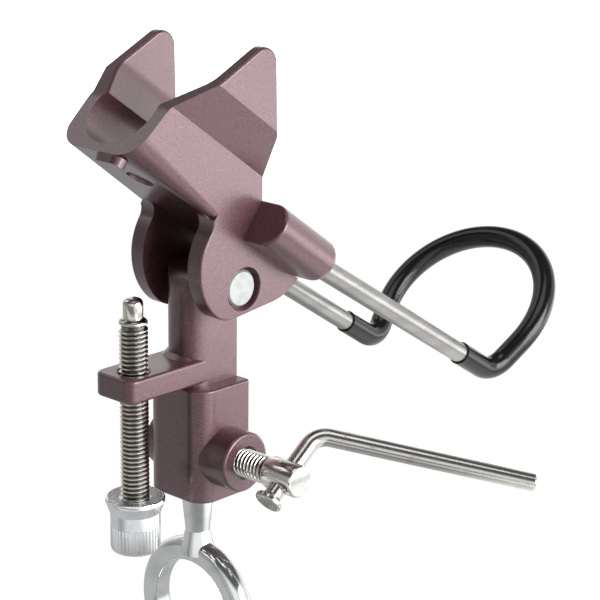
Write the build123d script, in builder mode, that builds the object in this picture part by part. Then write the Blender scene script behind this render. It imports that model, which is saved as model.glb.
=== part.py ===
"""Clamp-on rod rest head: a tilting cradle with a wire butt loop, on a clamp body over a swivel eye."""

from build123d import *
from math import acos, asin, atan2, cos, radians, sin, sqrt, tan
import os

os.makedirs("parts", exist_ok=True)

# Frame: origin at the centre of the eye ring, +Z up the post, -X towards the open front of the
# cradle, Y along the pivot pin. Lengths in mm, angles in degrees. The head stands at its back stop.

# ---- Fits -----------------------------------------------------------------------------------
slip = 0.05  # radial play of a shaft that turns or slides in its hole
play = 0.3  # between faces that pass each other
press = 0.01  # radial play drawn between pieces that are pressed together

# ---- Eye ring and post ----------------------------------------------------------------------
ring_outer_r = 21.0
ring_depth = 6.5  # of the bar, along the ring's radius
ring_width = 6.6  # of the bar, along the ring's axis
post_neck_d = 6.9
shank_d = 9.4
shank_length = 25.0  # inside the clamp block
groove_depth = 0.9
shoulder_height = 36.2  # from the ring's centre to the underside of the clamp block

# ---- Clamp body -----------------------------------------------------------------------------
block_length = 19.0  # along X
block_width = 22.4  # along Y
block_height = 32.7
block_corner_r = 5.6  # at the front
block_back_r = 1.0
block_edge_r = 0.6
plate_thickness = 13.2  # stem, along Y
stem_front = -8.2
stem_corner_r = 6.2
stem_inset = 0.65  # of the back of the stem from the back of the block
stem_top_r = 5.8
stem_top_above_pin = 5.5
arm_thickness = 6.6
arm_end = -31.0  # X of the arm's end face
arm_end_r = 3.0
arm_edge_r = 0.8
arm_overhang = 1.6  # of the arm over the stem on the side away from the clamp screw
arm_above_block = 0.8  # underside of the arm over the top of the block
foot_flare = 1.3  # of the stem where it stands on the arm
boss_d = 16.9
boss_height = 7.7
boss_edge_r = 0.9
pad_height = 0.9  # the plain pad opposite the boss
groove_past_middle = 0.1  # of the middle of the clamp screw past the middle of the shank

# ---- Pivot ----------------------------------------------------------------------------------
datum_x = 3.3  # of the lines the head is drawn from
datum_height = 60.3  # above the underside of the clamp block
pin_shift = (1.0, -0.2)  # X and Z of the pin from there
pin_d = 8.0
pin_spigot_d = 5.0
pin_head_d = 10.2
pin_head_thickness = 2.0
pin_head_recess = 0.8
counterbore_d = 12.4
spacer_d = 10.4

# ---- Cradle head, in its own plane: u runs back and down the cradle, v square to it ----------
rest_tilt = 35.35
head_width = 30.0  # over the sides where the horns begin
head_width_low = 26.6  # over the lowest points of the cheeks
slot_width = 17.4  # between the cheeks
belly_v = 11.3  # underside of the head
belly_corner_r = (7.2, 2.0)  # of the belly's long corners, at the front and where they run out
belly_corner_end = -20.8
front_low_u = -56.9
front_lean = 3.78  # u gained from the belly to the shoulder of the front end
front_shoulder_v = 27.35
front_bend_r = 8.0
shoulder_v = 28.4  # where the side turns out to the horn
horn_base_v = 38.6
horn_outer_width = 42.2
horn_thickness = 3.8
horn_edge_r = 0.8
horn_tip_back = 21.5  # u of its sharp corner from the front end
horn_tip_v = 59.5
horn_tip_r = 4.7
horn_bend_r = 7.0
back_low = (-8.2, 23.2)
bore_r = 10.9
bore_v = 24.7
lip_v = 29.0
cheek_front_u = -19.7
cheek_lobe_v = 6.8  # height of the centre of the cheek's rounded front
cheek_lobe_r = 17.1
heel_start_u = -4.5
heel_r = 9.4
cheek_rise = 42.7  # of the lower edge towards the tip
cheek_corner_r = 3.6
cheek_edge_r = 0.6
chin_u = 13.6
tip_u = 18.9
ledge_v = 11.6
web_thickness = 3.4
web_reach = (-4.4, 6.0)  # over the pin, lowest and highest
peg_place = (-54.6, -5.0)  # u, and Y
peg_length = 5.0
peg_width = 9.6
peg_height = 2.4
dimple_place = (-41.0, -3.2)  # u, and Y
dimple_r = 4.0
dimple_depth = 0.8

# ---- Wire loop and its sockets --------------------------------------------------------------
wire_d = 6.0
sleeve_d = 7.0
socket_y = 20.4
socket_v = 17.25
socket_d = 12.1
socket_end_u = 17.6
socket_edge_r = 2.4
socket_front_r = 0.8
wire_mouth_v = 16.1
wire_slope = 0.0547  # v gained per u down the legs
wire_depth = 16.1  # of each leg in its socket
loop_tilt = 41.7  # of the plane of the loop over level
loop_r = 27.75
leg_length = 106.09  # from the inner end of a leg to the plane of the loop
turn_clear = 2.85  # of the legs' ends outside the circle of the loop
leg_spread = 3.0  # how far each leg has moved out where it turns up
bend_r = 8.0
sleeve_start = 71.9  # of bare wire out of each socket

# ---- Angle screw and its knob ---------------------------------------------------------------
screw_d = 8.0
angle_screw_x = -23.7
nose_d = 5.5
nose_length = 5.6
nose_top_above_pin = 0.5
nose_dome_r = 1.6
thread_chamfer = 0.9
thread_mouth = 0.75  # countersink round each threaded hole
knob_flange_d = 16.4
knob_flange_thickness = 1.5
knob_cone = 2.7
knob_d = 13.8
knob_height = 15.6
knob_edge_r = 1.4
knob_top_above_shoulder = 4.5
knob_bore_depth = 11.0
knob_dish_depth = 1.5

# ---- Clamp screw and tommy bar --------------------------------------------------------------
tip_d = 6.0
tip_length = 2.4
tip_gap = 0.12  # from the tip to the floor of the groove
screw_head_d = 9.0
screw_head_length = 11.1
screw_head_gap = 9.3  # bare thread between the boss and the head
bar_d = 5.0
bar_lean = 36.9  # of the short leg over level
bar_hole_from_end = 5.4
bar_up = 14.9  # from the screw's axis to the corner of the bar
bar_down = 6.6  # from the screw's axis to the neck
bar_neck_d = 3.6
bar_neck_length = 0.9
button_d = 7.8
button_thickness = 1.6
bar_long = 60.9
bar_long_direction = (0.616, -0.764, -0.192)
bar_bend_r = 6.0

# ---- Derived places -------------------------------------------------------------------------
block_bottom = shoulder_height
block_top = block_bottom + block_height
arm_bottom = block_top + arm_above_block
arm_top = arm_bottom + arm_thickness
pin_z = block_bottom + datum_height + pin_shift[1]
boss_z = block_bottom + shank_length / 2 + groove_past_middle
boss_face = block_width / 2 + boss_height
plate_half = plate_thickness / 2
slot_half = slot_width / 2
stem_top = pin_z + stem_top_above_pin
stem_back = block_length / 2 - stem_inset
tilt = radians(rest_tilt)
u_dir = Vector(cos(tilt), 0, -sin(tilt))
v_dir = Vector(sin(tilt), 0, cos(tilt))
datum = Vector(datum_x, 0, block_bottom + datum_height)
pin = datum + Vector(pin_shift[0], 0, pin_shift[1])
pin_side = Plane(origin=pin, x_dir=(1, 0, 0), z_dir=(0, -1, 0))
head_side = Plane(origin=datum, x_dir=u_dir, z_dir=(0, -1, 0))
head_front = Plane(origin=datum, x_dir=(0, 1, 0), z_dir=u_dir)


def head_point(u, v, y=0.0):
    """A point of the head's own plane (u, v), moved along the pin by y."""
    return datum + u_dir * u + v_dir * v + Vector(0, y, 0)


def near(items, point, count=1):
    """The items whose centres lie nearest a point."""
    return items.sort_by_distance(point)[:count]


# ---- Eye ring and post ----------------------------------------------------------------------
ring_mean_r = ring_outer_r - ring_depth / 2
post_foot = ring_outer_r - 0.6 * ring_depth  # inside the bar of the ring
groove_half = tip_d / 2 + play
with BuildPart() as eye_post:
    with BuildSketch(Plane.XZ):
        with Locations((0, ring_mean_r)):
            Rectangle(ring_width, ring_depth)
        fillet(vertices().sort_by(Axis.Y)[-2:], 0.46 * ring_width)
        fillet(vertices().sort_by(Axis.Y)[:2], 1.2)
    revolve(axis=Axis.X)
    with BuildSketch(Plane.XZ):
        with BuildLine():
            Polyline(
                (0, post_foot), (post_neck_d / 2 + 1.6, post_foot),
                (post_neck_d / 2, ring_outer_r + 3), (shank_d / 2, shoulder_height),
                (shank_d / 2, boss_z - groove_half),
                (shank_d / 2 - groove_depth, boss_z - groove_half + groove_depth / 2),
                (shank_d / 2 - groove_depth, boss_z + groove_half - groove_depth / 2),
                (shank_d / 2, boss_z + groove_half),
                (shank_d / 2, shoulder_height + shank_length - 1),
                (shank_d / 2 - 1, shoulder_height + shank_length),
                (0, shoulder_height + shank_length), close=True,
            )
        make_face()
    revolve(axis=Axis.Z)

# ---- Clamp body -----------------------------------------------------------------------------
with BuildPart() as stem:
    # Rounded at its two front corners, and over its top
    with BuildSketch(Plane.XY.offset(block_top - 3)):
        with Locations((stem_front, 0)):
            Rectangle(stem_back - stem_front, plate_thickness, align=(Align.MIN, Align.CENTER))
        fillet(vertices().sort_by(Axis.X)[:2], stem_corner_r)
    extrude(amount=stem_top - block_top + 3)
    with BuildSketch(Plane.XZ):
        with Locations((stem_front, stem_top)):
            Rectangle(stem_back - stem_front, stem_top, align=(Align.MIN, Align.MAX))
        fillet(vertices().sort_by(Axis.Y)[-2:], stem_top_r)
    extrude(amount=plate_thickness, both=True, mode=Mode.INTERSECT)
    with BuildSketch(Plane.XY.offset(arm_top)):
        with Locations((stem_front - foot_flare, play - plate_half)):
            Rectangle(stem_back - stem_front, plate_thickness + foot_flare - play, align=Align.MIN)
        fillet(vertices().sort_by(Axis.X)[:2], stem_corner_r)
    extrude(amount=foot_flare, taper=45)
with BuildPart() as arm:
    with BuildSketch(Plane.XY.offset(arm_bottom)):
        with Locations((arm_end, -plate_half)):
            Rectangle(stem_back - arm_end, plate_thickness + arm_overhang, align=Align.MIN)
        fillet(vertices().sort_by(Axis.X)[:2], arm_end_r)
    extrude(amount=arm_thickness)
    for level in (arm_bottom, arm_top):
        rim = edges().filter_by(lambda e: abs(e.center().Z - level) < 0.01)
        fillet(rim.filter_by(lambda e: e.center().X < stem_back - 0.1), arm_edge_r)
with BuildPart() as clamp_body:
    # Block, with its vertical corners rounded
    with BuildSketch(Plane.XY.offset(block_bottom)):
        Rectangle(block_length, block_width)
        fillet(vertices().sort_by(Axis.X)[:2], block_corner_r)
        fillet(vertices().sort_by(Axis.X)[-2:], block_back_r)
    extrude(amount=block_height)
    fillet(faces().sort_by(Axis.Z)[-1].edges(), block_edge_r)
    fillet(faces().sort_by(Axis.Z)[0].edges(), block_edge_r)
    add(stem.part)
    add(arm.part)
    # Boss for the clamp screw, and the pad opposite
    with BuildSketch(Plane.XZ.offset(boss_face)):
        with Locations((0, boss_z)):
            Circle(boss_d / 2)
    extrude(amount=-(boss_face + block_width / 2 + pad_height))
    fillet(near(edges().filter_by(GeomType.CIRCLE), (0, -boss_face, boss_z)), boss_edge_r)
    # Bore of the post, threads of the clamp screw and of the angle screw, pivot hole
    with BuildSketch(Plane.XY.offset(block_bottom)):
        Circle(shank_d / 2 + slip)
    extrude(amount=shank_length + 1.5, mode=Mode.SUBTRACT)
    with BuildSketch(Plane.XZ.offset(boss_face)):
        with Locations((0, boss_z)):
            Circle(screw_d / 2 + slip)
    extrude(amount=-boss_face, mode=Mode.SUBTRACT)
    with BuildSketch(Plane.XY.offset(arm_bottom)):
        with Locations((angle_screw_x, 0)):
            Circle(screw_d / 2 + slip)
    extrude(amount=arm_thickness, mode=Mode.SUBTRACT)
    with BuildSketch(Plane.XZ):
        with Locations((pin.X, pin.Z)):
            Circle(pin_d / 2 + slip)
    extrude(amount=plate_half, both=True, mode=Mode.SUBTRACT)
    # Countersinks round the threads
    chamfer(near(edges().filter_by(GeomType.CIRCLE), (0, -boss_face, boss_z)), thread_mouth)
    chamfer(near(edges().filter_by(GeomType.CIRCLE), (angle_screw_x, 0, arm_top)), thread_mouth)
    chamfer(near(edges().filter_by(GeomType.CIRCLE), (angle_screw_x, 0, arm_bottom)), thread_mouth)

# ---- Path of the wire loop ------------------------------------------------------------------
leg_start = head_point(socket_end_u - wire_depth, wire_mouth_v - wire_depth * wire_slope)
leg_way = (u_dir + v_dir * wire_slope).normalized()
loop_rise = Vector(cos(radians(loop_tilt)), 0, sin(radians(loop_tilt)))
loop_normal = Vector(-sin(radians(loop_tilt)), 0, cos(radians(loop_tilt)))
turn_y = socket_y + leg_spread
turn_far = loop_r + turn_clear
turn = leg_start + leg_way * leg_length  # where the legs meet the plane of the loop, at mid-plane
turn_back = -sqrt(turn_far**2 - turn_y**2)
loop_mid = turn - loop_rise * turn_back
# Where the straight from the turn touches the circle, in the plane of the loop
touch_angle = atan2(turn_back, turn_y) + acos(loop_r / turn_far)
touch_y = loop_r * cos(touch_angle)
touch_back = loop_r * sin(touch_angle)
touch = loop_mid + loop_rise * touch_back
top = loop_mid + loop_rise * loop_r

# ---- Cradle head ----------------------------------------------------------------------------
rise = radians(cheek_rise)
front_shoulder = (front_low_u + front_lean, front_shoulder_v)
horn_tip = (front_low_u + horn_tip_back, horn_tip_v)
lobe_centre_u = cheek_front_u + cheek_lobe_r
lobe_low = (lobe_centre_u - cheek_lobe_r * cos(0.8), cheek_lobe_v - cheek_lobe_r * sin(0.8))
heel_dip = asin((lobe_centre_u - heel_start_u) / cheek_lobe_r)  # still falling where the heel begins
heel_start = (heel_start_u, cheek_lobe_v - cheek_lobe_r * cos(heel_dip))
heel_mid_u = heel_start_u + heel_r * sin(heel_dip)
heel_mid_v = heel_start[1] + heel_r * cos(heel_dip)
heel_end = (heel_mid_u + heel_r * sin(rise), heel_mid_v - heel_r * cos(rise))
chin = (chin_u, heel_end[1] + (chin_u - heel_end[0]) * tan(rise))
side_lean = (head_width - head_width_low) / 2 / (shoulder_v - heel_mid_v + heel_r)
horn_inner = horn_outer_width / 2 - horn_thickness
lip_y = sqrt(bore_r**2 - (lip_v - bore_v) ** 2)
web_front = stem_back + play - pin.X  # X from the pin, with the head at its stop


def side_at(v):
    """Half the width over the sides of the head at a height v."""
    return head_width / 2 - (shoulder_v - v) * side_lean


def on_side(edge, y):
    """True for an edge that lies wholly in one of the two planes at y from the middle."""
    return all(abs(abs(edge.position_at(t).Y) - y) < 0.01 for t in (0, 0.5, 1))


def on_section(edge, u):
    """True for an edge that lies wholly in the section of the head at u."""
    return all(abs((edge.position_at(t) - datum).dot(u_dir) - u) < 0.01 for t in (0, 0.5, 1))


def on_flank(edge):
    """True for an edge of a side face of the head that bounds the front of its cheek."""
    for t in (0, 0.3, 0.5, 0.8, 1):
        at = edge.position_at(t) - datum
        if abs(abs(at.Y) - side_at(at.dot(v_dir))) > 0.01:
            return False
    middle = edge.center() - datum
    return middle.dot(v_dir) < belly_v - 1.8 and middle.dot(u_dir) < heel_start_u - heel_r + 2


with BuildPart() as socket:
    # D section, flat inside and round outside, with its ends rounded
    with BuildSketch(head_front.offset(back_low[0])):
        with BuildLine():
            Polyline(
                (socket_y, socket_v + socket_d / 2), (slot_half, socket_v + socket_d / 2),
                (slot_half, socket_v - socket_d / 2), (socket_y, socket_v - socket_d / 2),
            )
            ThreePointArc(
                (socket_y, socket_v + socket_d / 2), (socket_y + socket_d / 2, socket_v),
                (socket_y, socket_v - socket_d / 2),
            )
        make_face()
    extrude(amount=socket_end_u - back_low[0])
    end_rim = edges().filter_by(lambda e: on_section(e, socket_end_u) and e.center().Y > slot_half + 1)
    fillet(end_rim, socket_edge_r)
    front_rim = edges().filter_by(lambda e: on_section(e, back_low[0]) and e.center().Y > slot_half + 1)
    fillet(front_rim, socket_front_r)

with BuildPart() as cradle_head:
    # Side outline, drawn right through the head
    with BuildSketch(head_side) as side:
        with BuildLine():
            Polyline(
                (cheek_front_u, cheek_lobe_v), (cheek_front_u, belly_v), (front_low_u, belly_v),
                front_shoulder, horn_tip, back_low, (back_low[0], ledge_v),
                (tip_u, ledge_v),
            )
            TangentArc(chin, (tip_u, ledge_v), tangent=(cos(rise), sin(rise)))
            Line(heel_end, chin)
            ThreePointArc(heel_end, (heel_mid_u, heel_mid_v - heel_r), heel_start)
            ThreePointArc(heel_start, lobe_low, (cheek_front_u, cheek_lobe_v))
        make_face()
        fillet(near(side.vertices(), (*horn_tip, 0)), horn_tip_r)
        fillet(near(side.vertices(), (*front_shoulder, 0)), front_bend_r)
        fillet(near(side.vertices(), (cheek_front_u, belly_v, 0)), cheek_corner_r)
    extrude(amount=horn_outer_width / 2, both=True)
    # Front section: cheeks, belly, side walls, and the horns that stand out from them
    with BuildSketch(head_front):
        with BuildLine():
            Polyline(
                (slot_half, -30), (side_at(-30), -30), (side_at(shoulder_v), shoulder_v),
                (horn_outer_width / 2, horn_base_v), (horn_outer_width / 2, 80), (0, 80),
                (0, belly_v), (slot_half, belly_v), close=True,
            )
        make_face()
        mirror(about=Plane.YZ)
    extrude(amount=90, both=True, mode=Mode.INTERSECT)
    # Sockets of the wire loop
    add(socket.part)
    add(mirror(socket.part, about=Plane.XZ))
    # Trough of the cradle, and the funnel between the horns
    with BuildSketch(head_front):
        with BuildLine():
            Polyline(
                (0, bore_v), (lip_y, lip_v), (horn_inner, horn_base_v + 0.6), (horn_inner, 80),
                (0, 80), close=True,
            )
        make_face()
        mirror(about=Plane.YZ)
        funnel_bends = vertices().filter_by(lambda p: abs(p.Y - horn_base_v - 0.6) < 0.01)
        fillet(funnel_bends, horn_bend_r)
        with Locations((0, bore_v)):
            Circle(bore_r)
    extrude(amount=90, both=True, mode=Mode.SUBTRACT)

    # Web between the cheeks: the back stop, upright when the head is at rest
    with BuildSketch(pin_side):
        with Locations((web_front, web_reach[0])):
            Rectangle(web_thickness, web_reach[1] - web_reach[0], align=Align.MIN)
    extrude(amount=slot_half + 1, both=True)
    # Rounded long corners of the belly, running out towards the cheeks
    for sign in (-1, 1):
        for u, r in zip((front_low_u - 1, belly_corner_end), belly_corner_r):
            with BuildSketch(head_front.offset(u)):
                with BuildLine():
                    Polyline(
                        (sign * (side_at(belly_v) - r), belly_v),
                        (sign * (side_at(belly_v) - r), belly_v - 0.5),
                        (sign * (side_at(belly_v) + 1), belly_v - 0.5),
                        (sign * (side_at(belly_v) + 1), belly_v + r),
                        (sign * side_at(belly_v + r), belly_v + r),
                    )
                    ThreePointArc(
                        (sign * side_at(belly_v + r), belly_v + r),
                        (sign * (side_at(belly_v) - 0.28 * r), belly_v + 0.29 * r),
                        (sign * (side_at(belly_v) - r), belly_v),
                    )
                make_face()
        loft(ruled=True, mode=Mode.SUBTRACT)
    # Oval peg and shallow recess under the front
    peg_foot = head_point(peg_place[0], belly_v, peg_place[1])
    with BuildSketch(Plane(origin=peg_foot, x_dir=(0, 1, 0), z_dir=-v_dir)):
        RectangleRounded(peg_width, peg_length, 0.49 * peg_length)
    extrude(amount=peg_height, taper=6)
    dimple_foot = head_point(dimple_place[0], belly_v, dimple_place[1])
    with BuildSketch(Plane(origin=dimple_foot, x_dir=(0, 1, 0), z_dir=-v_dir)):
        Circle(dimple_r)
    extrude(amount=-dimple_depth, taper=20, mode=Mode.SUBTRACT)
    # Pivot hole, its counterbores, and the holes for the wire legs
    with BuildSketch(pin_side):
        Circle(pin_d / 2 + press)
    extrude(amount=head_width, both=True, mode=Mode.SUBTRACT)
    for side in (pin_side.offset(side_at(0) + 1), pin_side.offset(-side_at(0) - 1).rotated((180, 0, 0))):
        with BuildSketch(side):
            Circle(counterbore_d / 2)
        extrude(amount=-pin_head_thickness - pin_head_recess - 1, mode=Mode.SUBTRACT)
    for side_y, into in ((-socket_y, -1), (socket_y, 1)):
        hole_way = (leg_way * leg_length + Vector(0, into * leg_spread, 0)).normalized()
        mouth = leg_start + Vector(0, side_y, 0)
        with BuildSketch(Plane(origin=mouth, z_dir=hole_way)):
            Circle(wire_d / 2 + press)
        extrude(amount=2 * wire_depth, mode=Mode.SUBTRACT)

    # Rounded front edges of the cheeks, then the rims of the horns
    cheek_fronts = edges().filter_by(on_flank)
    fillet(cheek_fronts, cheek_edge_r)
    fillet(edges().filter_by(lambda e: on_side(e, horn_outer_width / 2)), horn_edge_r)
    fillet(edges().filter_by(lambda e: on_side(e, horn_inner)), horn_edge_r)

# ---- Pivot pin, its pressed-on cap, and the spacers beside the stem --------------------------
pin_face = side_at(0) - pin_head_recess
cap_seat = pin_face - pin_head_thickness
with BuildPart() as pivot_pin:
    with BuildSketch(pin_side.offset(pin_face)):
        Circle(pin_head_d / 2)
    extrude(amount=-pin_head_thickness)
    with BuildSketch(pin_side.offset(cap_seat)):
        Circle(pin_d / 2)
    extrude(amount=-2 * cap_seat)
    with BuildSketch(pin_side.offset(-cap_seat)):
        Circle(pin_spigot_d / 2)
    extrude(amount=-pin_head_thickness)
    chamfer(edges().sort_by(Axis.Y)[0], 0.5)
    chamfer(edges().sort_by(Axis.Y)[-1], 0.4)
with BuildPart() as pivot_cap:
    with BuildSketch(pin_side.offset(-cap_seat)):
        Circle(pin_head_d / 2)
        Circle(pin_spigot_d / 2 + press, mode=Mode.SUBTRACT)
    extrude(amount=-pin_head_thickness)
    chamfer(edges().sort_by(Axis.Y)[-1], 0.4)
spacer_inner = plate_half + play
spacer_outer = slot_half - press
with BuildPart() as spacer_near:
    with BuildSketch(pin_side.offset(spacer_inner)):
        Circle(spacer_d / 2)
        Circle(pin_d / 2 + press, mode=Mode.SUBTRACT)
    extrude(amount=spacer_outer - spacer_inner)
    chamfer(edges().filter_by(GeomType.CIRCLE).group_by(SortBy.RADIUS)[-1], 0.3)
with BuildPart() as spacer_far:
    with BuildSketch(pin_side.offset(-spacer_outer)):
        Circle(spacer_d / 2)
        Circle(pin_d / 2 + press, mode=Mode.SUBTRACT)
    extrude(amount=spacer_outer - spacer_inner)
    chamfer(edges().filter_by(GeomType.CIRCLE).group_by(SortBy.RADIUS)[-1], 0.3)

# ---- Wire loop and its sleeve ---------------------------------------------------------------
mouth_leg = wire_depth + sleeve_start
sleeve_share = mouth_leg / leg_length


def loop_path(first_share):
    """The centre line from one leg to the other, each leg taken from a share of its length."""
    start = leg_start + leg_way * leg_length * first_share
    start_y = socket_y + leg_spread * first_share
    FilletPolyline(
        start - Vector(0, start_y, 0), turn - Vector(0, turn_y, 0), touch - Vector(0, touch_y, 0),
        radius=bend_r,
    )
    ThreePointArc(touch - Vector(0, touch_y, 0), top, touch + Vector(0, touch_y, 0))
    FilletPolyline(
        touch + Vector(0, touch_y, 0), turn + Vector(0, turn_y, 0), start + Vector(0, start_y, 0),
        radius=bend_r,
    )


with BuildPart() as wire_loop:
    with BuildLine() as wire_line:
        loop_path(0)
    with BuildSketch(Plane(origin=wire_line.line @ 0, z_dir=wire_line.line % 0)):
        Circle(wire_d / 2)
    sweep()
with BuildPart() as loop_sleeve:
    with BuildLine() as sleeve_line:
        loop_path(sleeve_share)
    with BuildSketch(Plane(origin=sleeve_line.line @ 0, z_dir=sleeve_line.line % 0)):
        Circle(sleeve_d / 2)
        Circle(wire_d / 2 + press, mode=Mode.SUBTRACT)
    sweep()

# ---- Angle screw and its knob ---------------------------------------------------------------
nose_top = pin_z + nose_top_above_pin
knob_top = block_bottom + knob_top_above_shoulder
knob_bottom = knob_top - knob_height
rod_bottom = knob_top - knob_bore_depth + play
thread_top = nose_top - nose_length
with BuildPart() as angle_screw:
    with BuildSketch(Plane.XZ):
        with BuildLine():
            Polyline(
                (0, rod_bottom), (screw_d / 2 - thread_chamfer, rod_bottom),
                (screw_d / 2, rod_bottom + thread_chamfer), (screw_d / 2, thread_top - thread_chamfer),
                (nose_d / 2 + 0.3, thread_top), (nose_d / 2, thread_top),
                (nose_d / 2, nose_top - nose_dome_r),
            )
            nose_arc = ThreePointArc(
                (nose_d / 2, nose_top - nose_dome_r),
                (nose_d / 2 - 0.3 * nose_dome_r, nose_top - 0.3 * nose_dome_r),
                (nose_d / 2 - nose_dome_r, nose_top),
            )
            Polyline((nose_d / 2 - nose_dome_r, nose_top), (0, nose_top), (0, rod_bottom))
        make_face()
    revolve(axis=Axis.Z)
angle_screw.part.position = (angle_screw_x, 0, 0)
with BuildPart() as angle_knob:
    with BuildSketch(Plane.XZ):
        with BuildLine():
            Polyline(
                (screw_d / 2 + press, knob_top - knob_dish_depth),
                (knob_flange_d / 2 - 1.2, knob_top), (knob_flange_d / 2, knob_top),
                (knob_flange_d / 2, knob_top - knob_flange_thickness),
                (knob_d / 2, knob_top - knob_flange_thickness - knob_cone),
                (knob_d / 2, knob_bottom + knob_edge_r),
                (knob_d / 2 - knob_edge_r, knob_bottom), (0, knob_bottom),
                (0, knob_top - knob_bore_depth),
                (screw_d / 2 + press, knob_top - knob_bore_depth), close=True,
            )
        make_face()
    revolve(axis=Axis.Z)
angle_knob.part.position = (angle_screw_x, 0, 0)

# ---- Clamp screw and tommy bar --------------------------------------------------------------
tip_face = shank_d / 2 - groove_depth + tip_gap
head_start = boss_face + screw_head_gap
head_end = head_start + screw_head_length
bar_y = bar_hole_from_end - head_end
bar_mid = Vector(0, bar_y, boss_z)
bar_way = Vector(cos(radians(bar_lean)), 0, sin(radians(bar_lean)))
with BuildPart() as clamp_screw:
    with BuildSketch(Plane.XY):
        with BuildLine():
            Polyline(
                (0, -tip_face), (tip_d / 2 - 0.5, -tip_face), (tip_d / 2, -tip_face - 0.5),
                (tip_d / 2, -tip_face - tip_length), (screw_d / 2, -tip_face - tip_length - 1),
                (screw_d / 2, -head_start), (screw_head_d / 2 - 0.4, -head_start),
                (screw_head_d / 2, -head_start - 0.4), (screw_head_d / 2, -head_end + 0.5),
                (screw_head_d / 2 - 0.5, -head_end), (0, -head_end), close=True,
            )
        make_face()
    revolve(axis=Axis.Y)
    with BuildSketch(Plane(origin=(0, bar_y, 0), z_dir=bar_way)):
        Circle(bar_d / 2 + slip)
    extrude(amount=screw_head_d, both=True, mode=Mode.SUBTRACT)
clamp_screw.part.position = (0, 0, boss_z)
bar_neck = bar_mid - bar_way * bar_down
bar_button = bar_neck - bar_way * bar_neck_length
bar_turn = bar_mid + bar_way * bar_up
with BuildPart() as tommy_bar:
    with BuildLine() as bar_line:
        FilletPolyline(
            bar_neck, bar_turn, bar_turn + Vector(*bar_long_direction).normalized() * bar_long,
            radius=bar_bend_r,
        )
    with BuildSketch(Plane(origin=bar_neck, z_dir=bar_way)):
        Circle(bar_d / 2)
    sweep()
    chamfer(edges().filter_by(GeomType.CIRCLE).sort_by_distance(bar_line.line @ 1)[0], 0.5)
    with BuildSketch(Plane(origin=bar_neck, z_dir=-bar_way)):
        Circle(bar_neck_d / 2)
    extrude(amount=bar_neck_length)
    with BuildSketch(Plane(origin=bar_button, z_dir=-bar_way)):
        Circle(button_d / 2)
    extrude(amount=button_thickness)
    rims = edges().filter_by(GeomType.CIRCLE)
    fillet(rims.filter_by(lambda e: abs(e.radius - button_d / 2) < 0.01), 0.5)

# ---- Files ----------------------------------------------------------------------------------
for name, piece in (
    ("eye_post", eye_post), ("clamp_body", clamp_body), ("cradle_head", cradle_head),
    ("pivot_pin", pivot_pin), ("pivot_cap", pivot_cap), ("spacer_near", spacer_near),
    ("spacer_far", spacer_far), ("wire_loop", wire_loop), ("loop_sleeve", loop_sleeve),
    ("angle_screw", angle_screw), ("angle_knob", angle_knob), ("clamp_screw", clamp_screw),
    ("tommy_bar", tommy_bar),
):
    piece.part.label = name
    export_step(piece.part, "parts/" + name + ".step")
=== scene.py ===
from math import cos, radians, sin, tau

import bmesh
import bpy
from bpy.props import FloatProperty, FloatVectorProperty, IntProperty, PointerProperty
from mathutils import Matrix, Vector


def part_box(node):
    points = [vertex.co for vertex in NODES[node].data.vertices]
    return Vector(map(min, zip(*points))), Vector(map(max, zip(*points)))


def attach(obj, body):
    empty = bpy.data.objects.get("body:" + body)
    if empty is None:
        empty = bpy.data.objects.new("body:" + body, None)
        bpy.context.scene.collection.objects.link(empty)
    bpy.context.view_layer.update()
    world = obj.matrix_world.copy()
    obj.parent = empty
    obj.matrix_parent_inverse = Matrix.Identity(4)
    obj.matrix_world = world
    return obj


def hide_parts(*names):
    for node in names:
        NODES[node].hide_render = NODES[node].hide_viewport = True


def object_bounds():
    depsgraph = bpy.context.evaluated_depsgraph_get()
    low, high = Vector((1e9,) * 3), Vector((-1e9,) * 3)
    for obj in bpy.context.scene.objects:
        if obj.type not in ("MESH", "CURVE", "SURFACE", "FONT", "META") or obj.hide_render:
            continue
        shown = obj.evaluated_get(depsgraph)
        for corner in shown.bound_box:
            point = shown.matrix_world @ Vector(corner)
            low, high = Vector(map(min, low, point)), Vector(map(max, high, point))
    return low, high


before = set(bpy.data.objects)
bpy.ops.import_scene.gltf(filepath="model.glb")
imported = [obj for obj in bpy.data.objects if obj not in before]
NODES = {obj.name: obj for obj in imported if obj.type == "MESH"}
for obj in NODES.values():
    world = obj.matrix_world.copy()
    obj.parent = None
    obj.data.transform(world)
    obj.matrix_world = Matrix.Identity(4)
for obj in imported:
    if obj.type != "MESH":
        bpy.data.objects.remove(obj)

bl_info = {
    "name": "Rod rest head",
    "version": (1, 0, 0),
    "blender": (4, 5, 0),
    "location": "View3D > Sidebar > Rod rest",
    "description": "Clamp-on rod rest head: painted castings, threaded screws, knob and wire loop",
    "category": "Object",
}

MM = 0.001
WELD = 0.001 * MM  # points nearer than this are one
CAD_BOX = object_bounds()

MIX_FACTOR, MIX_LOW, MIX_HIGH, MIX_COLOUR = 0, 6, 7, 2  # sockets of a node that mixes colours
LEG_START = (3.3 * MM, 0, 96.5 * MM)  # a point on the line of the wire's legs
LEG_SLOPE = radians(32.2)
STEPS_PER_RIDGE = 4
KNOB_BORE, KNOB_SOCKET = 4.03 * MM, 10.8 * MM  # radius and depth of the hole for the screw
SERRATED_FROM = 4.2 * MM  # radius where the serrations begin
SERRATION_SWIRL = 260  # radians of turn in a metre of radius
DIAGONAL = 0.7  # share of x and y in the level directions across and along the view
FLOOR_SIZE = 2.6
FLOOR_GLOW = 2.7
LAMPS_AIM = Vector((0.01, 0, 0.1))
CAMERA_AT = Vector((-0.37262, -0.38136, 0.24926))
CAMERA_RIGHT = Vector((0.67996, -0.73315, 0.01209))
CAMERA_UP = Vector((0.20027, 0.20155, 0.95879))
SENSOR_MM, LENS_MM, FAR_CLIP = 36, 121.86, 20


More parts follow.
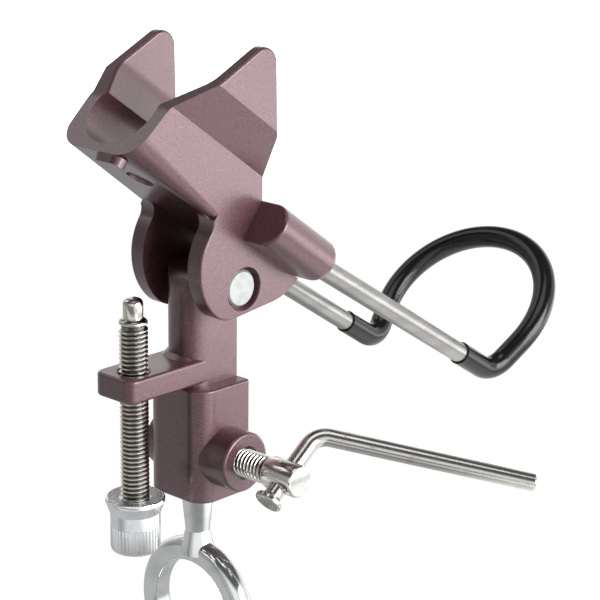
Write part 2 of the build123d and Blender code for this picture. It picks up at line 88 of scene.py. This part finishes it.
def place(node):
    """Lowest corner, highest corner and middle of a CAD node."""
    low, high = (Vector(corner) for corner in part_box(node))
    return low, high, (low + high) / 2


def length_property(name, description, millimetres):
    """A length, written in millimetres and kept in metres."""
    return FloatProperty(
        name=name, description=description, default=millimetres * MM, min=0.01 * MM,
        subtype="DISTANCE", unit="LENGTH", precision=5)


def colour_property(name, description, red, green, blue):
    """An opaque colour."""
    return FloatVectorProperty(
        name=name, description=description, default=(red, green, blue, 1), size=4, min=0, max=1,
        subtype="COLOR")


def share_property(name, description, value):
    """A number from 0 to 1."""
    return FloatProperty(name=name, description=description, default=value, min=0, max=1)


# ---- Sizes and colours ----------------------------------------------------------------------

class PaintSettings(bpy.types.PropertyGroup):
    """Satin plum paint of the two castings."""
    body: colour_property("Paint", "Body colour of the paint", 0.18, 0.066, 0.086)
    flake: colour_property(
        "Flakes", "Colour of the fine bright flakes in the paint", 0.42, 0.25, 0.29)
    roughness: share_property("Roughness", "Roughness of the paint", 0.33)
    grain: length_property("Grain", "Size of the flakes", 0.17)


class ThreadSettings(bpy.types.PropertyGroup):
    """Threads of both screws, and the nose of the angle screw."""
    pitch: length_property("Pitch", "Advance of the thread in one turn", 1.25)
    diameter: length_property("Thread diameter", "Outside diameter of the thread", 7.9)
    depth: length_property("Thread depth", "Height of the thread's ridge", 0.74)
    nose: length_property("Nose diameter", "Diameter of the angle screw's plain nose", 5.5)
    nose_length: length_property("Nose length", "Length of the nose above the thread", 5.6)
    dome: length_property("Nose rounding", "Radius of the rounded end of the nose", 1.6)
    steel: colour_property("Steel", "Colour of the angle screw", 0.72, 0.69, 0.645)


class KnobSettings(bpy.types.PropertyGroup):
    """Turned knob of the angle screw."""
    ridges: IntProperty(
        name="Ridges", description="Number of straight ridges round the knob", default=40, min=12,
        max=120)
    serrations: IntProperty(
        name="Serrations", description="Number of serrations on the dished top", default=44, min=12,
        max=120)
    groove: length_property("Groove depth", "Depth of the grooves between the ridges", 0.3)
    knurl: length_property("Knurl height", "Height of the ridged band", 7.4)
    grip: length_property("Grip diameter", "Diameter of the knob below its flange", 13.8)
    dish: length_property("Dish depth", "Depth of the dished top", 0.45)
    metal: colour_property("Metal", "Colour of the aluminium", 0.94, 0.95, 0.96)


class HeadSettings(bpy.types.PropertyGroup):
    """Head, cross hole and tip of the clamp screw."""
    head: length_property("Head length", "Length of the plain head", 11.1)
    hole: length_property(
        "Cross hole diameter", "Diameter of the hole that the bar slides in", 5.12)
    from_end: length_property("Hole from end", "Distance of the hole from the end of the head", 5.4)
    tip: length_property("Tip diameter", "Diameter of the plain tip", 6.0)
    tip_length: length_property("Tip length", "Length of the plain tip", 2.4)
    lean: FloatProperty(
        name="Lean", description="Lean of the cross hole over level", default=radians(36.9),
        subtype="ANGLE", unit="ROTATION")
    plate: colour_property("Plate", "Colour of the nickel on the clamp screw", 0.86, 0.845, 0.80)


class StageSettings(bpy.types.PropertyGroup):
    """Light of the studio."""
    key: FloatProperty(name="Key", description="Power of the key light", default=18, unit="POWER")
    top: FloatProperty(
        name="Top", description="Power of the light overhead", default=2.5, unit="POWER")
    rim: FloatProperty(name="Rim", description="Power of the light behind", default=2, unit="POWER")
    ambient: share_property("Ambient", "Light that comes from all round", 0.02)


# ---- Node trees -----------------------------------------------------------------------------

class Socket:
    """An output socket that takes part in sums."""

    def __init__(self, net, socket):
        self.net, self.socket = net, socket

    def _sum(self, operation, *values):
        return self.net.node("ShaderNodeMath", {"operation": operation}, dict(enumerate(values)))

    def __add__(self, other):
        return self._sum("ADD", self, other)

    def __sub__(self, other):
        return self._sum("SUBTRACT", self, other)

    def __rsub__(self, other):
        return self._sum("SUBTRACT", other, self)

    def __mul__(self, other):
        return self._sum("MULTIPLY", self, other)

    def __pow__(self, other):
        return self._sum("POWER", self, other)

    def sine(self):
        return self._sum("SINE", self)

    def round_to(self, other):
        """The angle of the point (self, other) about the origin."""
        return self._sum("ARCTAN2", other, self)

    def over(self, low, high):
        """0 below low, 1 above high, smooth between."""
        return self.net.node(
            "ShaderNodeMapRange", {"interpolation_type": "SMOOTHSTEP"},
            {"Value": self, "From Min": low, "From Max": high})

    def parts(self):
        """The three parts of a vector or a colour."""
        split = self.net.node("ShaderNodeSeparateXYZ", {}, {0: self})
        return [Socket(self.net, output) for output in split.socket.node.outputs]


class Net:
    """The node tree of a material or of the world, filled one node at a time."""

    def __init__(self, owner):
        self.owner = owner
        owner.use_nodes = True
        self.tree = owner.node_tree
        self.tree.nodes.clear()

    def node(self, kind, settings, values, out=0):
        """Adds a node, sets or links its inputs, and gives one of its outputs."""
        made = self.tree.nodes.new(kind)
        for key, value in settings.items():
            setattr(made, key, value)
        for key, value in values.items():
            if isinstance(value, Socket):
                self.tree.links.new(value.socket, made.inputs[key])
            else:
                made.inputs[key].default_value = value
        return Socket(self, made.outputs[out] if made.outputs else None)

    def at(self, centre=(0, 0, 0), turn=(0, 0, 0), stretch=(1, 1, 1)):
        """Object coordinates from a centre, turned, then stretched."""
        point = self.node("ShaderNodeTexCoord", {}, {}, "Object")
        point = self.node(
            "ShaderNodeMapping", {}, {"Vector": point, "Location": [-value for value in centre]})
        return self.node(
            "ShaderNodeMapping", {}, {"Vector": point, "Rotation": turn, "Scale": stretch})

    def noise(self, point, size, detail=2.0, rough=0.5):
        """Soft noise with features of a size."""
        return self.node(
            "ShaderNodeTexNoise", {},
            {"Vector": point, "Scale": 1 / size, "Detail": detail, "Roughness": rough})

    def cells(self, point, size, out="Distance"):
        """Distances to scattered points, or a random colour for each one's cell."""
        return self.node("ShaderNodeTexVoronoi", {}, {"Vector": point, "Scale": 1 / size}, out)

    def blend(self, share, low, high):
        """Low where the share is 0, high where it is 1."""
        return self.node(
            "ShaderNodeMix", {"data_type": "RGBA"},
            {MIX_FACTOR: share, MIX_LOW: low, MIX_HIGH: high}, MIX_COLOUR)

    def bump(self, height, strength, distance):
        """A normal bent by a height."""
        return self.node(
            "ShaderNodeBump", {}, {"Height": height, "Strength": strength, "Distance": distance})

    def surface(self, values):
        """Ends a material with its surface."""
        shader = self.node("ShaderNodeBsdfPrincipled", {}, values)
        self.node("ShaderNodeOutputMaterial", {}, {"Surface": shader})
        return self.owner


def material(name):
    """The empty node tree of a new material."""
    return Net(bpy.data.materials.new(name))


def toned(colour, share):
    """A colour made darker or lighter."""
    return [part * share for part in colour[:3]] + [1]


# ---- Finishes -------------------------------------------------------------------------------

def plum_paint(settings):
    """Satin paint with fine flakes over a casting with small waves and pits."""
    net = material("plum_paint")
    point = net.at()
    glint, dark, height = net.cells(point, settings.grain, "Color").parts()
    mottle = net.noise(point, 0.4 * MM, 3.0, 0.6)
    cloud = net.noise(point, 6 * MM, 3.0)
    few = net.noise(point, 9 * MM, 1.0).over(0.6, 0.68)
    pit = (1 - net.cells(point, 2.6 * MM).over(0.03, 0.10)) * few
    base = net.blend(mottle.over(0.35, 0.7) * 0.6, settings.body, toned(settings.body, 0.7))
    base = net.blend(dark.over(0.6, 1.0) * 0.5, base, toned(settings.body, 0.55))
    base = net.blend(glint.over(0.6, 1.0) * 0.55, base, settings.flake)
    base = net.blend(pit * 0.7, base, toned(settings.body, 0.25))
    relief = net.noise(point, 1.2 * MM) * 0.5 + height * 0.3 - pit * 1.8
    return net.surface({
        "Base Color": base, "Metallic": 0.2, "Normal": net.bump(relief, 0.3, 0.05 * MM),
        "Roughness": cloud * 0.1 + (settings.roughness - 0.05) - glint * 0.05,
        "Specular IOR Level": 0.95, "Coat Weight": 0.8, "Coat Roughness": 0.3})


def bright_chrome():
    """Chrome with polishing lines and a faint haze."""
    net = material("bright_chrome")
    point = net.at()
    lines = net.noise(net.at(stretch=(1, 1, 6)), 2 * MM)
    haze = net.noise(point, 8 * MM, 3.0)
    waves = net.noise(point, 4 * MM)
    base = net.blend(haze.over(0.4, 0.8), (0.84, 0.865, 0.86, 1), (0.66, 0.69, 0.685, 1))
    return net.surface({
        "Base Color": base, "Metallic": 1.0, "Roughness": lines * 0.1 + haze * 0.06 + 0.02,
        "Normal": net.bump(waves * 0.7 + lines * 0.3, 0.2, 0.08 * MM)})


def nickel_plate(name, plate, stretch=(1, 1, 1), thread=None, centre=(0, 0, 0), start=None):
    """Nickel with marks and stains, and painted shade in the thread's roots if it has a thread.

    The thread runs round Z, or round Y from a start onwards.
    """
    net = material(name)
    point = net.at()
    marks = net.noise(net.at(stretch=stretch), 1.1 * MM, 3.0)
    stains = net.noise(point, 3.6 * MM, 4.0, 0.65).over(0.54, 0.78)
    scuffs = net.cells(point, 1.1 * MM).over(0.0, 0.5)
    base = net.blend(stains * 0.6, plate, toned(plate, 0.53))
    if thread:
        x, y, z = net.at(centre).parts()
        across = z if start else y
        wide = (x * x + across * across) ** 0.5
        root = thread.diameter / 2 - thread.depth
        outside = wide.over(root - 0.1 * MM, root)
        painted_root_shade = (1 - wide.over(root + 0.05 * MM, root + 0.6 * MM)) * outside
        if start:
            painted_root_shade = painted_root_shade * y.over(start, start + 0.1 * MM)
        # painted shade: the roots of the thread are darkened
        base = net.blend(painted_root_shade, base, toned(plate, 0.3))
    return net.surface({
        "Base Color": base, "Metallic": 1.0,
        "Roughness": marks * 0.14 + stains * 0.14 + 0.09,
        "Normal": net.bump(marks * 0.7 + scuffs * 0.25, 0.24, 0.05 * MM)})


def drawn_wire():
    """Stainless wire with lines along its legs and a few nicks."""
    net = material("stainless_wire")
    along = net.at(LEG_START, (0, LEG_SLOPE, 0), (0.05, 1, 1))
    point = net.at()
    lines = net.noise(along, 0.55 * MM, 3.0, 0.6)
    broad = net.noise(along, 3 * MM)
    few = net.noise(point, 14 * MM).over(0.55, 0.6)
    nick = (1 - net.cells(point, 3 * MM).over(0.01, 0.05)) * few
    base = net.blend(broad.over(0.3, 0.75) * 0.7, (0.42, 0.415, 0.40, 1), (0.31, 0.305, 0.29, 1))
    return net.surface({
        "Base Color": net.blend(nick * 0.6, base, (0.2, 0.19, 0.18, 1)), "Metallic": 1.0,
        "Roughness": lines * 0.16 + broad * 0.08 + 0.18,
        "Normal": net.bump(lines * 0.6 - nick * 1.2, 0.12, 0.05 * MM)})


def black_sleeve():
    """Glossy black sleeve with faint waves and a little dust."""
    net = material("black_sleeve")
    point = net.at()
    skin = net.noise(point, 1.9 * MM, 3.0)
    dust = net.noise(point, 0.5 * MM).over(0.64, 0.76)
    waves = net.noise(point, 8 * MM)
    return net.surface({
        "Base Color": net.blend(dust * 0.3, (0.010, 0.010, 0.011, 1), (0.05, 0.05, 0.052, 1)),
        "Roughness": skin * 0.14 + dust * 0.1 + 0.12, "Specular IOR Level": 0.55,
        "Normal": net.bump(waves * 0.8 + skin * 0.2, 0.2, 0.12 * MM)})


def turned_aluminium(settings, centre, rim):
    """Bright aluminium: tool rings all over, and serrations on the dished top, drawn by bumps and
    by dark lines of painted shade.
    """
    net = material("turned_aluminium")
    x, y, z = net.at(centre).parts()
    wide = (x * x + y * y) ** 0.5
    dished = wide.over(SERRATED_FROM, SERRATED_FROM + 0.4 * MM) * (
        1 - wide.over(rim, rim + 0.3 * MM))
    top = z.over(-settings.dish - 0.4 * MM, -settings.dish - 0.1 * MM) * dished
    rays = (x.round_to(y) * settings.serrations + wide * SERRATION_SWIRL).sine()
    rings = (wide * (tau / (0.36 * MM)) + z * (tau / (0.31 * MM))).sine()
    blot = net.noise(net.at(), 2 * MM, 3.0)
    # painted shade: dark lines along the serrations of the dished top
    base = net.blend(rays.over(0.0, 0.7) * top * 0.9, settings.metal, toned(settings.metal, 0.2))
    base = net.blend(blot.over(0.5, 0.8) * 0.35, base, toned(settings.metal, 0.77))
    relief = rays * top * 2.0 + rings * (1 - top) * 0.1 + blot * 0.3
    return net.surface({
        "Base Color": base, "Metallic": 1.0,
        "Roughness": blot * 0.12 + rings * 0.02 + top * 0.2 + 0.09,
        "Normal": net.bump(relief, 0.5, 0.06 * MM)})


def zinc_face():
    """Pale zinc on the turned ends of the pivot."""
    net = material("zinc_pin")
    x, _, z = net.at(place("pivot_pin")[2]).parts()
    rings = ((x * x + z * z) ** 0.5 * (tau / (0.42 * MM))).sine()
    blot = net.noise(net.at(), 2.4 * MM, 3.0)
    base = net.blend(
        blot.over(0.42, 0.78) * 0.6, (0.64, 0.66, 0.655, 1), (0.46, 0.485, 0.485, 1))
    return net.surface({
        "Base Color": base, "Metallic": 0.35, "Roughness": blot * 0.2 + 0.28,
        "Normal": net.bump(rings * 0.35 + blot * 0.7, 0.25, 0.05 * MM)})


def black_nylon():
    """Black nylon of the spacers."""
    net = material("washer_nylon")
    skin = net.noise(net.at(), 1.1 * MM, 3.0)
    base = net.blend(skin.over(0.4, 0.8), (0.020, 0.020, 0.021, 1), (0.040, 0.040, 0.041, 1))
    return net.surface({
        "Base Color": base, "Roughness": skin * 0.2 + 0.42,
        "Normal": net.bump(skin, 0.3, 0.05 * MM)})


def dress(finish, *nodes):
    """Gives CAD nodes a finish."""
    for node in nodes:
        NODES[node].data.materials.clear()
        NODES[node].data.materials.append(finish)


# ---- Modelling ------------------------------------------------------------------------------

def alone(piece=None):
    """Leaves nothing, or one piece, selected."""
    bpy.ops.object.select_all(action="DESELECT")
    if piece:
        piece.select_set(True)
        bpy.context.view_layer.objects.active = piece


def drawn(name, points):
    """A line through points (radius, height), extruded from its first one; left in edit mode."""
    alone()
    bpy.ops.mesh.primitive_plane_add(size=MM, location=(0, 0, 0))
    piece = bpy.context.object
    piece.name = piece.data.name = name
    bpy.ops.object.mode_set(mode="EDIT")
    bpy.ops.mesh.merge(type="CENTER")
    bpy.ops.transform.translate(value=(points[0][0], 0, points[0][1]))
    for (r0, z0), (r1, z1) in zip(points, points[1:]):
        bpy.ops.mesh.extrude_region_move(
            TRANSFORM_OT_translate={"value": (r1 - r0, 0, z1 - z0)})
    bpy.ops.mesh.select_all(action="SELECT")
    return piece


def tidied(piece, centre, axis):
    """Merges and turns out the skin of a piece drawn about Z, and moves it to its axis."""
    bpy.ops.mesh.select_all(action="SELECT")
    bpy.ops.mesh.remove_doubles(threshold=WELD)
    bpy.ops.mesh.normals_make_consistent(inside=False)
    bpy.ops.object.mode_set(mode="OBJECT")
    alone(piece)
    piece.rotation_euler = (radians(90) if axis == "Y" else 0, 0, 0)
    piece.location = centre
    bpy.ops.object.transform_apply(location=True, rotation=True, scale=True)
    return piece


def turned(name, outline, centre, axis="Z", steps=96):
    """Spins an outline that starts and ends on the axis."""
    piece = drawn(name, outline)
    bpy.ops.mesh.spin(steps=steps, angle=tau, center=(0, 0, 0), axis=(0, 0, 1))
    return tidied(piece, centre, axis)


def threaded(name, low, high, settings, centre, axis="Z"):
    """A helical ridge from low to high: one closed section carried round by a Screw modifier."""
    crest = settings.diameter / 2
    root = crest - settings.depth
    buried = root - 0.3 * MM  # inside the rod, so that no gap shows
    section = (
        (buried, 0.03), (root, 0.05), (crest, 0.41), (crest, 0.59), (root, 0.95),
        (buried, 0.97), (buried, 0.03))
    piece = drawn(name, [(radius, low + part * settings.pitch) for radius, part in section])
    bpy.ops.mesh.remove_doubles(threshold=WELD)
    bpy.ops.object.mode_set(mode="OBJECT")
    carry = piece.modifiers.new("carry", "SCREW")
    carry.angle, carry.screw_offset = tau, settings.pitch
    carry.iterations = int((high - low) / settings.pitch) - 1
    carry.steps = carry.render_steps = 36
    bpy.ops.object.modifier_apply(modifier="carry")
    bpy.ops.object.mode_set(mode="EDIT")
    bpy.ops.mesh.select_all(action="SELECT")
    bpy.ops.mesh.remove_doubles(threshold=WELD)
    bpy.ops.mesh.select_all(action="DESELECT")
    bpy.ops.mesh.select_non_manifold()
    bpy.ops.mesh.edge_face_add()
    return tidied(piece, centre, axis)


def finish_piece(piece, parts, node, body, finish, angle=35):
    """Joins its parts to a piece, smooths it and puts it in a CAD node's place."""
    alone(piece)
    for part in parts:
        part.select_set(True)
    if parts:
        bpy.ops.object.join()
    bpy.ops.object.shade_smooth_by_angle(angle=radians(angle))
    piece.data.materials.clear()
    piece.data.materials.append(finish)
    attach(piece, body)
    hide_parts(node)


# ---- Operators ------------------------------------------------------------------------------

class ROD_OT_stage(bpy.types.Operator):
    """Pale floor, studio light and camera"""
    bl_idname = "rodrest.stage"
    bl_label = "Set the stage"

    def execute(self, context):
        scene, light = context.scene, context.scene.rod_stage
        scene.view_settings.view_transform = "Standard"
        alone()
        bpy.ops.mesh.primitive_plane_add(size=FLOOR_SIZE, location=(0, 0, CAD_BOX[0][2]))
        floor = context.object
        floor.name = "stage_floor"
        floor.data.materials.append(self.pale_floor())
        scene.world = bpy.data.worlds.new("studio")
        self.studio(Net(scene.world), light.ambient)
        self.lamp("key", at=(0.35, -1.27, 0.34), width=1.1, height=0.9, power=light.key)
        self.lamp("top", at=(-0.1, -0.25, 1.5), width=0.8, height=0.8, power=light.top)
        self.lamp("rim", at=(-0.35, 1.05, 1.1), width=0.8, height=0.8, power=light.rim)
        lens = bpy.data.cameras.new("camera")
        lens.sensor_width, lens.lens, lens.clip_end = SENSOR_MM, LENS_MM, FAR_CLIP
        camera = bpy.data.objects.new("camera", lens)
        scene.collection.objects.link(camera)
        turn = Matrix((CAMERA_RIGHT, CAMERA_UP, CAMERA_RIGHT.cross(CAMERA_UP))).transposed()
        camera.matrix_world = Matrix.Translation(CAMERA_AT) @ turn.to_4x4()
        scene.camera = camera
        return {"FINISHED"}

    def pale_floor(self):
        """White to the camera, with the object's shadow; bands that glow like lamps, though only
        reflections see them.
        """
        net = material("pale_floor")
        tint = net.noise(net.at(), 0.2)
        lit = net.node("ShaderNodeBsdfPrincipled", {}, {
            "Base Color": net.blend(tint * 0.4, (0.36, 0.36, 0.36, 1), (0.33, 0.33, 0.33, 1)),
            "Roughness": 0.9, "Specular IOR Level": 0.1})
        x, y, _ = net.at().parts()
        right = x * DIAGONAL - y * DIAGONAL
        away = x * DIAGONAL + y * DIAGONAL
        sweep = right.over(0.2, 0.42) * (1 - right.over(0.48, 0.7) * 0.2)  # well to the right
        aside = right.over(0.05, 0.09) * (1 - right.over(0.17, 0.24))  # a strip beside the object
        behind = away.over(-0.12, 0.0)  # under the object and beyond
        before = away.over(-0.26, -0.2) * (1 - away.over(-0.14, -0.08))  # a strip in front
        far = ((x * x + y * y) ** 0.5).over(0.5, 1.0)  # beyond the shadow
        white = net.node("ShaderNodeEmission", {}, {"Strength": FLOOR_GLOW})
        seen = net.node("ShaderNodeLightPath", {}, {}, "Is Camera Ray")
        glossy = net.node("ShaderNodeLightPath", {}, {}, "Is Glossy Ray")
        # painted light: for reflections the floor glows in these bands, though it is no lamp
        bright = seen * (far * 0.65 + 0.35) + glossy * (
            sweep * 0.92 + aside * 0.28 + before * 0.24 + behind * 0.12 + 0.03)
        mixed = net.node("ShaderNodeMixShader", {}, {0: bright, 1: lit, 2: white})
        net.node("ShaderNodeOutputMaterial", {}, {"Surface": mixed})
        return net.owner

    def studio(self, net, ambient):
        """White to the camera; for reflections white low down, dimmer on the left; dim as light."""
        seen, glossy, clear = (
            net.node("ShaderNodeLightPath", {}, {}, ray)
            for ray in ("Is Camera Ray", "Is Glossy Ray", "Is Transmission Ray"))
        x, y, z = net.node("ShaderNodeTexCoord", {}, {}, "Generated").parts()
        side = (x * DIAGONAL - y * DIAGONAL).over(-1.0, -0.3) * 0.7 + 0.3
        sweep = (1 - z.over(0.34, 0.6) * 0.88) * side
        level = seen + clear + glossy * sweep + (1 - seen - clear - glossy) * ambient
        light = net.node("ShaderNodeBackground", {}, {"Color": (1, 1, 1, 1), "Strength": level})
        net.node("ShaderNodeOutputWorld", {}, {"Surface": light})

    def lamp(self, name, at, width, height, power):
        """A rectangular lamp turned to the object."""
        data = bpy.data.lights.new(name, "AREA")
        data.shape, data.size, data.size_y, data.energy = "RECTANGLE", width, height, power
        lamp = bpy.data.objects.new(name, data)
        bpy.context.scene.collection.objects.link(lamp)
        lamp.location = at
        lamp.rotation_euler = (LAMPS_AIM - Vector(at)).to_track_quat("-Z", "Y").to_euler()


class ROD_OT_castings(bpy.types.Operator):
    """Painted clamp body and cradle head"""
    bl_idname = "rodrest.castings"
    bl_label = "Paint the castings"

    def execute(self, context):
        dress(plum_paint(context.scene.rod_paint), "clamp_body", "cradle_head")
        return {"FINISHED"}


class ROD_OT_metals(bpy.types.Operator):
    """Plated, drawn and moulded pieces that keep their CAD shape"""
    bl_idname = "rodrest.metals"
    bl_label = "Finish the plain pieces"

    def execute(self, context):
        dress(bright_chrome(), "eye_post")
        dress(zinc_face(), "pivot_pin", "pivot_cap")
        dress(black_nylon(), "spacer_near", "spacer_far")
        dress(drawn_wire(), "wire_loop")
        dress(black_sleeve(), "loop_sleeve")
        plate = context.scene.rod_head.plate
        dress(nickel_plate("nickel_bar", toned(plate, 0.72), stretch=(1, 1, 0.4)), "tommy_bar")
        return {"FINISHED"}


class ROD_OT_angle_screw(bpy.types.Operator):
    """Threaded angle screw with its plain rounded nose"""
    bl_idname = "rodrest.angle_screw"
    bl_label = "Make the angle screw"

    def execute(self, context):
        thread = context.scene.rod_thread
        low, high, middle = place("angle_screw")
        centre = (middle.x, middle.y, 0)
        crest, nose = thread.diameter / 2, thread.nose / 2
        root = crest - thread.depth
        neck, foot, dome = high.z - thread.nose_length, low.z, high.z - thread.dome
        outline = [
            (0, foot), (root - 0.4 * MM, foot), (root, foot + 0.4 * MM), (root, neck - 1.9 * MM),
            (crest - 0.1 * MM, neck - 1.35 * MM), (crest - 0.05 * MM, neck - 0.9 * MM),
            (crest - 0.15 * MM, neck - 0.6 * MM), (nose + 0.3 * MM, neck),
            (nose - 0.12 * MM, neck + 0.12 * MM), (nose - 0.02 * MM, neck + 0.45 * MM)]
        outline += [
            (nose - thread.dome + thread.dome * cos(turn), dome + thread.dome * sin(turn))
            for turn in (step * tau / 24 for step in range(7))]
        outline += [(0, high.z)]
        rod = turned("angle_screw_rod", outline, centre, steps=72)
        ridge = threaded("angle_screw_thread", foot + 0.3 * MM, neck - 1.0 * MM, thread, centre)
        finish_piece(
            rod, [ridge], "angle_screw", "angle_rod",
            nickel_plate("nickel_thread", thread.steel, thread=thread, centre=centre))
        return {"FINISHED"}


class ROD_OT_knob(bpy.types.Operator):
    """Turned knob with a dished top, serrated by its finish, and a ridged band"""
    bl_idname = "rodrest.knob"
    bl_label = "Make the knob"

    def execute(self, context):
        sizes = context.scene.rod_knob
        low, high, middle = place("angle_knob")
        rim, grip, top, foot = (high.x - low.x) / 2, sizes.grip / 2, high.z, low.z
        bore, floor, band = KNOB_BORE, top - KNOB_SOCKET, low.z + sizes.knurl
        outline = [
            (0, floor), (bore, floor), (bore, top - sizes.dish),
            (bore + 0.25 * MM, top - sizes.dish + 0.05 * MM), (rim - 0.65 * MM, top - 0.08 * MM),
            (rim - 0.45 * MM, top), (rim - 0.28 * MM, top - 0.03 * MM),
            (rim - 0.1 * MM, top - 0.15 * MM), (rim, top - 0.4 * MM), (rim, top - 1.3 * MM),
            (rim - 0.2 * MM, top - 1.65 * MM), (grip + 0.25 * MM, top - 4.0 * MM),
            (grip - 0.03 * MM, top - 4.35 * MM), (grip - 0.03 * MM, band + 0.25 * MM),
            (grip - 0.03 * MM, band + 0.05 * MM), (grip, band), (grip, foot + 1.4 * MM),
            (grip - 0.12 * MM, foot + 0.8 * MM), (grip - 0.42 * MM, foot + 0.38 * MM),
            (grip - 0.85 * MM, foot + 0.1 * MM), (grip - 1.4 * MM, foot), (0, foot)]
        steps = sizes.ridges * STEPS_PER_RIDGE
        knob = turned("angle_knob_turned", outline, (middle.x, middle.y, 0), steps=steps)
        bpy.ops.object.mode_set(mode="EDIT")
        mesh = bmesh.from_edit_mesh(knob.data)
        for vertex in mesh.verts:
            arm = Vector((vertex.co.x - middle.x, vertex.co.y - middle.y))
            outside = arm.length > grip - 0.5 * MM
            ridged = foot + 0.3 * MM < vertex.co.z < band + 0.02 * MM
            vertex.select = outside and ridged and round(
                arm.angle_signed(Vector((1, 0))) / tau * steps) % STEPS_PER_RIDGE == 0
        mesh.select_flush_mode()
        bmesh.update_edit_mesh(knob.data)
        inward = 1 - sizes.groove / grip
        bpy.ops.transform.resize(
            value=(inward, inward, 1), center_override=(middle.x, middle.y, middle.z))
        bpy.ops.object.mode_set(mode="OBJECT")
        finish_piece(
            knob, [], "angle_knob", "knob",
            turned_aluminium(sizes, (middle.x, middle.y, top), rim - 0.75 * MM), angle=24)
        return {"FINISHED"}


class ROD_OT_clamp_screw(bpy.types.Operator):
    """Threaded clamp screw with a cross hole through its head"""
    bl_idname = "rodrest.clamp_screw"
    bl_label = "Make the clamp screw"

    def execute(self, context):
        sizes, thread = context.scene.rod_head, context.scene.rod_thread
        low, high, middle = place("clamp_screw")
        centre = (middle.x, low.y, middle.z)
        reach, wide = high.y - low.y, (high.z - low.z) / 2
        crest, tip = thread.diameter / 2, sizes.tip / 2
        root = crest - thread.depth
        neck, shoulder = -reach + sizes.tip_length, -sizes.head
        outline = [
            (0, -reach), (tip - 0.5 * MM, -reach), (tip, -reach + 0.5 * MM), (tip, neck),
            (root, neck + 0.3 * MM), (root, shoulder - 0.5 * MM), (crest - 0.5 * MM, shoulder),
            (wide - 0.6 * MM, shoulder), (wide - 0.15 * MM, shoulder + 0.2 * MM),
            (wide, shoulder + 0.6 * MM), (wide, -0.75 * MM), (wide - 0.12 * MM, -0.4 * MM),
            (wide - 0.4 * MM, -0.12 * MM), (wide - 0.75 * MM, 0), (0, 0)]
        screw = turned("clamp_screw_body", outline, centre, "Y")
        across = Vector((cos(sizes.lean), 0, sin(sizes.lean)))
        alone()
        bpy.ops.mesh.primitive_cylinder_add(
            vertices=72, radius=sizes.hole / 2, depth=3 * wide,
            location=(middle.x, low.y + sizes.from_end, middle.z),
            rotation=across.to_track_quat("Z", "Y").to_euler())
        drill = context.object
        alone(screw)
        cut = screw.modifiers.new("cross_hole", "BOOLEAN")
        cut.object, cut.solver = drill, "EXACT"
        bpy.ops.object.modifier_apply(modifier="cross_hole")
        bpy.data.objects.remove(drill)
        ridge = threaded(
            "clamp_screw_thread", neck + 0.4 * MM, shoulder + 0.2 * MM, thread, centre, "Y")
        plating = nickel_plate(
            "nickel_head", sizes.plate, thread=thread, centre=centre, start=sizes.head)
        finish_piece(screw, [ridge], "clamp_screw", "screw", plating)
        return {"FINISHED"}


# ---- Panel and start ------------------------------------------------------------------------

class ROD_PT_panel(bpy.types.Panel):
    """Sizes, colours and makers of the rod rest head"""
    bl_idname = "ROD_PT_panel"
    bl_label = "Rod rest head"
    bl_space_type = "VIEW_3D"
    bl_region_type = "UI"
    bl_category = "Rod rest"

    def draw(self, context):
        for slot, group in SETTINGS.items():
            for name in group.__annotations__:
                self.layout.prop(getattr(context.scene, slot), name)
        for maker in MAKERS:
            self.layout.operator(maker.bl_idname)


SETTINGS = {
    "rod_paint": PaintSettings, "rod_thread": ThreadSettings, "rod_knob": KnobSettings,
    "rod_head": HeadSettings, "rod_stage": StageSettings}
MAKERS = (
    ROD_OT_stage, ROD_OT_castings, ROD_OT_metals, ROD_OT_angle_screw, ROD_OT_knob,
    ROD_OT_clamp_screw)


def register():
    for group in (*SETTINGS.values(), *MAKERS, ROD_PT_panel):
        bpy.utils.register_class(group)
    for slot, group in SETTINGS.items():
        setattr(bpy.types.Scene, slot, PointerProperty(type=group))


def unregister():
    for slot in SETTINGS:
        delattr(bpy.types.Scene, slot)
    for group in (ROD_PT_panel, *MAKERS, *SETTINGS.values()):
        bpy.utils.unregister_class(group)


def main():
    register()
    bpy.ops.rodrest.stage()
    bpy.ops.rodrest.castings()
    bpy.ops.rodrest.metals()
    bpy.ops.rodrest.angle_screw()
    bpy.ops.rodrest.knob()
    bpy.ops.rodrest.clamp_screw()


if __name__ == "__main__":
    main()
